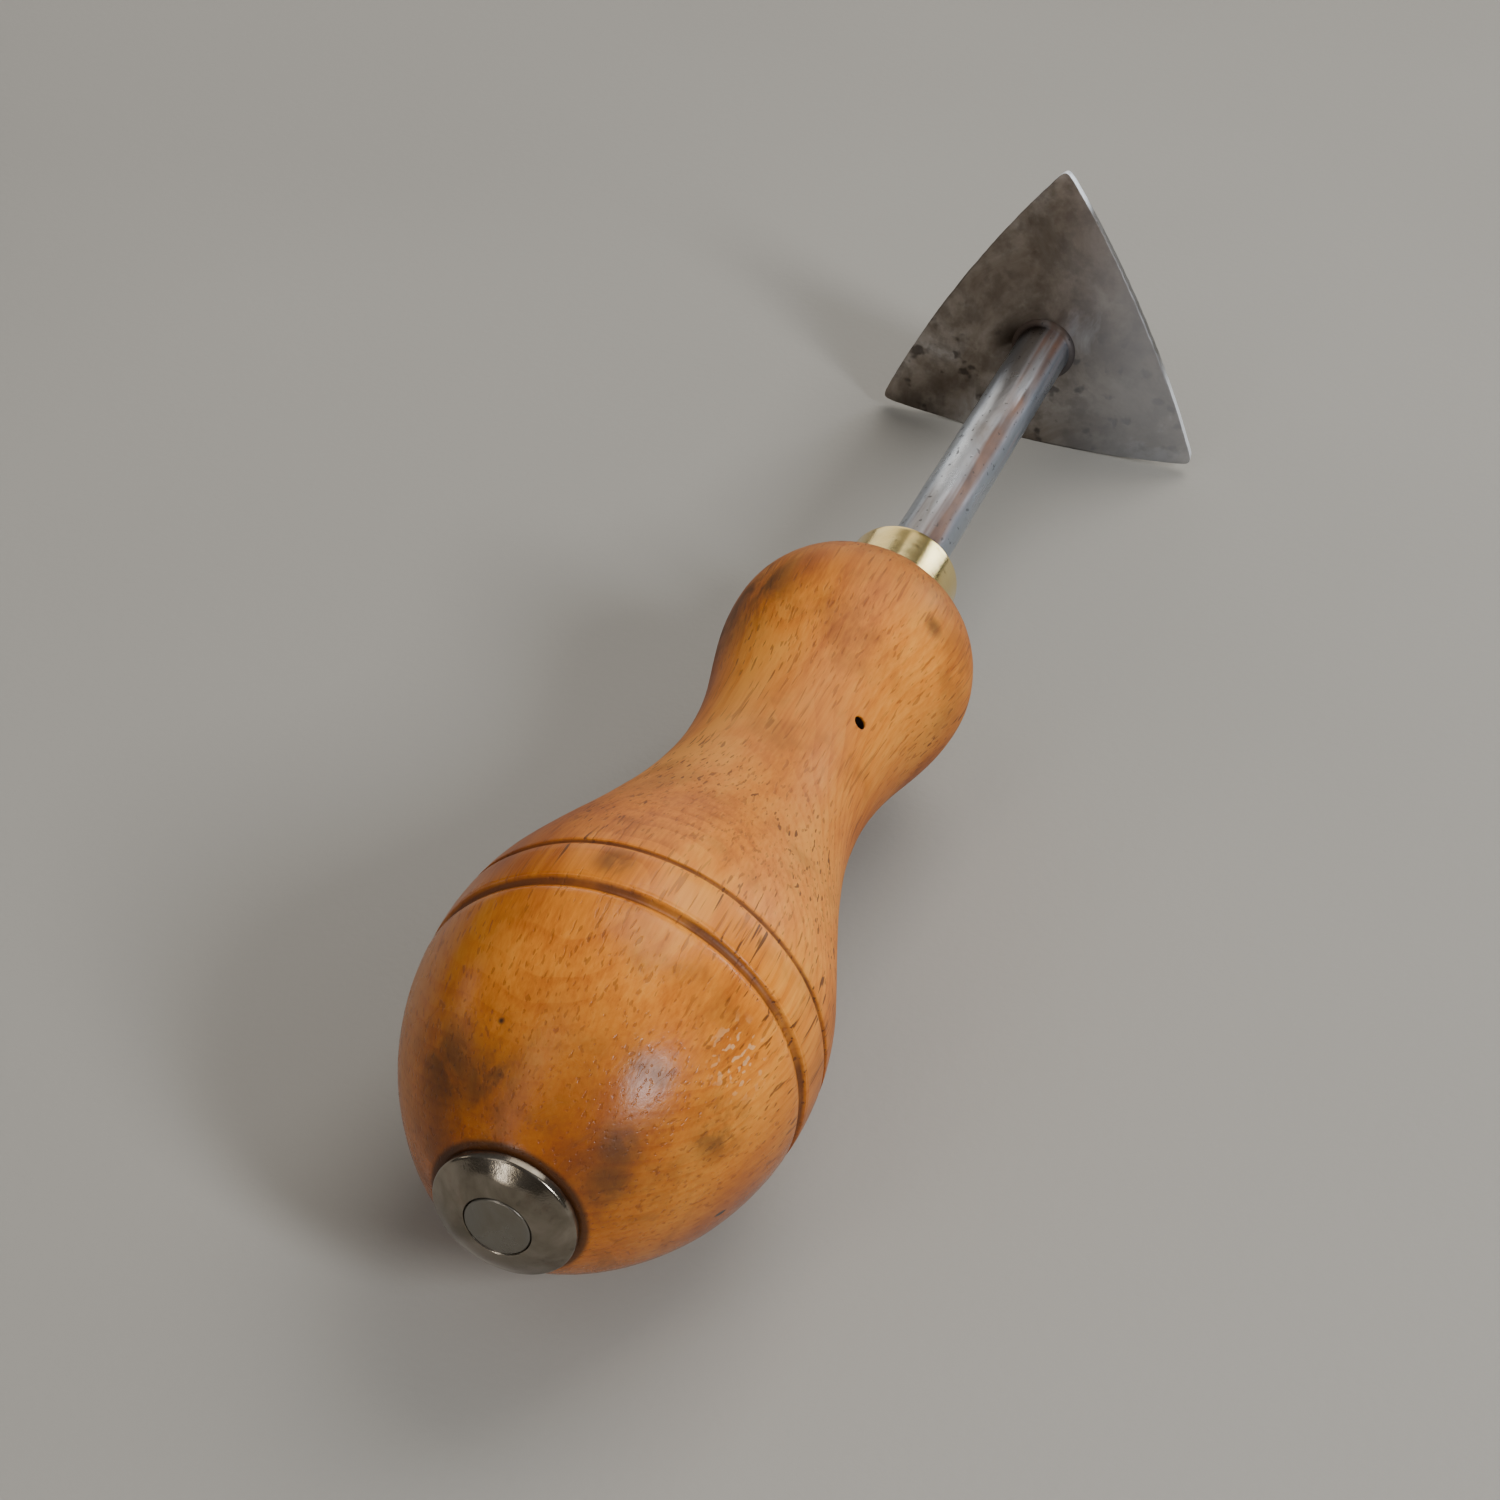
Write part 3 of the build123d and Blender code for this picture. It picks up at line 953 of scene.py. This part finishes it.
def build_washer(look):
    top = washer_x.min()
    hole = washer_r[washer_x < top + AT_END].min()
    rim = washer_r.max()
    corners = [
        (0.0, TANG_RADIUS, 0),
        (top + 1.4 * MM, TANG_RADIUS, 0),
        (top, hole, 0.22 * MM),
        (top + 0.4 * MM, 0.5 * (hole + rim), 6.0 * MM),
        (top + 1.5 * MM, rim, 0.42 * MM),
        (-0.25 * MM, rim, 0.2 * MM),
        (0.0, rim - 0.5 * MM, 0.1 * MM),
        (0.0, TANG_RADIUS, 0),
    ]
    outline = divided(rounded(corners, 8), 0.35 * MM)[:-1]

    def hammered(x, r, turn):
        face = np.clip((r - hole) / (rim - hole), 0, 1) * (x < -0.3 * MM)
        return x + abs(wavy(x, r * cos(turn), r * sin(turn), 3 * MM, 0.07 * MM)) * face, r

    points, faces = turned(outline, 144, hammered)
    return make_piece("domed_washer", points, faces, "butt_washer", look)


def build_pin(look):
    corners = [
        (PIN_BOTTOM, 0, 0),
        (PIN_BOTTOM, PIN_RADIUS, 0.1 * MM),
        (PIN_TOP - 0.12 * MM, PIN_RADIUS, 0.22 * MM),
        (PIN_TOP, 0, 0),
    ]
    points, faces = turned(divided(rounded(corners), 1.0 * MM), 40)
    placed = [
        tuple(Vector((PIN_X, 0, 0)) + pin_out * x + pin_tangent * y + Vector((z, 0, 0)))
        for x, y, z in points
    ]
    return make_piece("tang_pin", placed, faces, "cross_pin", look)


# ---------------------------------------------------------------- blade
# A three-sided plate round a riveted hole: the bow of its sides, the rounding of its corners,
# the slope of its edge, and how much thinner it is at the edge than at the root
BLADE_BOW = 1.8 * MM
BLADE_CORNER = 0.93 * MM
BLADE_RELIEF = tan(radians(5))
BLADE_TAPER = 0.7 * MM
BLADE_SPOKES = 240
SPOKE_CROWDING = 0.22
# Rows of points on a face, as shares of the way from the hole to the edge
FACE_ROWS = (0.0, 0.10, 0.22, 0.34, 0.46, 0.57, 0.67, 0.76, 0.84, 0.90, 0.945, 0.975, 0.992, 1.0)
# Rows of points across the edge: share of the way from back to front, and inset in mm
EDGE_ROWS = ((0.03, 0.02), (0.10, 0.0), (0.35, 0.0), (0.65, 0.0), (0.92, 0.0), (0.98, 0.06))


def blade_outline(turn):
    """How far the blade reaches at a turn about the tool's axis, its corners rounded."""
    sharp_corner = 2 * (BLADE_REACH - BLADE_BOW)
    side = sharp_corner * sqrt(3)
    curve = (side**2 / 4 + BLADE_BOW**2) / (2 * BLADE_BOW)
    centre = BLADE_REACH - curve
    total = 0.0
    for edge in (-pi / 2, pi / 6, 5 * pi / 6):
        off = turn - edge
        faces_away = cos(off) < -0.2
        if faces_away:
            continue
        reach = centre * cos(off) + sqrt(curve**2 - (centre * sin(off)) ** 2)
        total += np.exp(-reach / BLADE_CORNER)
    return -BLADE_CORNER * np.log(total)


def blade_turns():
    """Turns of the blade's spokes, closer together towards its three corners."""
    even = [2 * pi * step / BLADE_SPOKES for step in range(BLADE_SPOKES)]
    return [turn - SPOKE_CROWDING * sin(3 * (turn - pi / 2)) for turn in even]


def nicked_reach(turn, inset):
    """How far the blade reaches at a turn, less an inset and the small nicks in its edge."""
    reach = blade_outline(turn) - inset
    return reach - abs(wavy(sin(turn) * reach, cos(turn) * reach, 0.0, 1.6 * MM, 0.10 * MM))


def face_row(station, share, hole, inset):
    """Points round the blade's back or front face, a share of the way from hole to edge."""
    row = []
    for turn in blade_turns():
        r = hole + (nicked_reach(turn, inset) - hole) * share
        y, z = r * cos(turn), r * sin(turn)
        lump = abs(wavy(station, y, z, 9 * MM, 0.16 * MM))
        lump += abs(wavy(y, z, station, 3 * MM, 0.03 * MM))
        lump *= min(1.0, share * 6)
        if station < BLADE_BACK + BLADE_THICKNESS / 2:
            x = station + lump + BLADE_TAPER * share**3
        else:
            x = station - lump * 0.6
        row.append((x, y, z))
    return row


def edge_row(share, inset):
    """Points round the blade's edge, a share of the way from its back to its front."""
    station = BLADE_BACK + BLADE_TAPER + (BLADE_THICKNESS - BLADE_TAPER) * share
    inset += BLADE_RELIEF * BLADE_THICKNESS * share
    reaches = [(turn, nicked_reach(turn, inset)) for turn in blade_turns()]
    return [(station, reach * cos(turn), reach * sin(turn)) for turn, reach in reaches]


def build_blade(look):
    hole = SHANK_RADIUS * 0.75
    front_inset = BLADE_RELIEF * BLADE_THICKNESS + 0.14 * MM
    rows = [face_row(BLADE_BACK, share, hole, 0.0) for share in FACE_ROWS[:-1]]
    rows.append(face_row(BLADE_BACK, 1.0, hole, 0.10 * MM))
    rows += [edge_row(share, inset * MM) for share, inset in EDGE_ROWS]
    rows += [face_row(BLADE_FRONT, share, RIVET_RADIUS, front_inset) for share in FACE_ROWS[::-1]]
    rows.append(face_row(BLADE_FRONT - 0.8 * MM, 0.0, hole, 0.0))
    points = [point for row in rows for point in row]
    rings = numbered_rings(len(rows), BLADE_SPOKES)
    faces = []
    for here, there in zip(rings, rings[1:] + rings[:1]):
        faces += joined(here, there)
    return make_piece("blade_plate", points, faces, "blade", look)


build_handle(wood_look())
build_ferrule(brass_look())
build_shank(shank_look())
build_blade(blade_look())
build_washer(steel_look("washer_steel", (0.32, 0.28, 0.23), (0.17, 0.145, 0.11), 0.15, 0.15, 0.2))
build_pin(steel_look("pin_steel", (0.30, 0.27, 0.24), (0.16, 0.13, 0.11), 0.42, 0.5, 0.1))

# ---------------------------------------------------------------- floor, light and camera
low, high = cad_box
centre = (Vector(low) + Vector(high)) / 2
length = high[0] - low[0]

# Soft lights: name, direction from the tool, distance, size, power and colour
SOFTBOXES = (
    ("window", (-0.375, -0.751, 0.544), 1.0, (0.17, 0.30), 6.8, (0.92, 0.96, 1.0)),
    ("ceiling", (0.60, -0.20, 0.95), 1.5, (1.1, 1.1), 12.0, (1.0, 0.98, 0.95)),
    ("far_wall", (0.915, 0.317, 0.25), 1.4, (0.90, 0.62), 2.2, (1.0, 0.98, 0.93)),
    ("far_window", (0.86, -0.43, 0.23), 1.2, (0.28, 0.46), 2.4, (0.86, 0.93, 1.0)),
    ("doorway", (-0.96, 0.22, 0.18), 1.2, (0.07, 0.44), 1.3, (1.0, 0.97, 0.92)),
    ("near_ceiling", (-0.62, 0.30, 0.72), 1.4, (0.30, 1.2), 1.9, (1.0, 0.98, 0.95)),
    ("left_lamp", (-0.10, 0.95, 0.30), 1.3, (0.60, 0.14), 0.5, (1.0, 0.95, 0.86)),
)


def floor_look():
    pale = Look("pale_floor")
    grain = pale.noise(pale.place, 900.0, 3.0)
    tone = pale.noise(pale.place, 6.0, 2.0)
    colour = pale.ramp(tone, (0.3, (0.375, 0.352, 0.312)), (0.7, (0.405, 0.382, 0.340)))
    pale.set(Base_Color=colour, Roughness=0.85)
    pale.bump((grain, 0.05 * MM))
    return pale.material


def build_floor():
    half = 12 * length
    mesh = bpy.data.meshes.new("floor")
    corners = [(-half, -half), (half, -half), (half, half), (-half, half)]
    mesh.from_pydata([(x, y, low[2]) for x, y in corners], [], [(0, 1, 2, 3)])
    mesh.materials.append(floor_look())
    floor = bpy.data.objects.new("floor", mesh)
    bpy.context.scene.collection.objects.link(floor)


def add_softbox(name, direction, distance, size, power, colour):
    """A soft rectangular light that faces the middle of the tool, unseen by the camera."""
    lamp = bpy.data.lights.new(name, "AREA")
    lamp.shape = "RECTANGLE"
    lamp.size, lamp.size_y = size
    lamp.energy = power
    lamp.color = colour
    light = bpy.data.objects.new(name, lamp)
    bpy.context.scene.collection.objects.link(light)
    away = Vector(direction).normalized()
    light.location = centre + away * distance
    light.rotation_euler = away.to_track_quat("Z", "Y").to_euler()
    light.visible_camera = False


def set_sky():
    """A soft room: paler overhead, darker towards the horizon."""
    world = bpy.data.worlds.new("room")
    world.use_nodes = True
    bpy.context.scene.world = world
    tree = world.node_tree
    coords = tree.nodes.new("ShaderNodeTexCoord")
    parts = tree.nodes.new("ShaderNodeSeparateXYZ")
    ramp = tree.nodes.new("ShaderNodeValToRGB")
    tree.links.new(coords.outputs["Generated"], parts.inputs[0])
    tree.links.new(parts.outputs["Z"], ramp.inputs["Fac"])
    tree.links.new(ramp.outputs["Color"], tree.nodes["Background"].inputs["Color"])
    ramp.color_ramp.elements[0].color = (0.16, 0.145, 0.125, 1)
    ramp.color_ramp.elements[1].color = (0.52, 0.53, 0.55, 1)
    tree.nodes["Background"].inputs["Strength"].default_value = 0.45


def add_camera():
    """A hand-held view from behind the butt, a little to its right, looking down the tool."""
    elevation, heading, roll = radians(38.32), radians(19.24), radians(2.38)
    distance = 306.8 * MM
    # A point in the handle's waist, a little left of the tool's middle line
    aim = Vector((-20.2 * MM, 3.8 * MM, 22.0 * MM))
    forward = Vector(
        (cos(elevation) * cos(heading), cos(elevation) * sin(heading), -sin(elevation))
    )
    lens = bpy.data.cameras.new("camera")
    lens.sensor_width = 36.0
    lens.lens = 63.156
    lens.clip_start = 0.01
    camera = bpy.data.objects.new("camera", lens)
    bpy.context.scene.collection.objects.link(camera)
    camera.location = aim - forward * distance
    level = forward.to_track_quat("-Z", "Y").to_matrix()
    camera.rotation_euler = (level @ Matrix.Rotation(roll, 3, "Z")).to_euler()
    bpy.context.scene.camera = camera


build_floor()
for softbox in SOFTBOXES:
    add_softbox(*softbox)
set_sky()
add_camera()
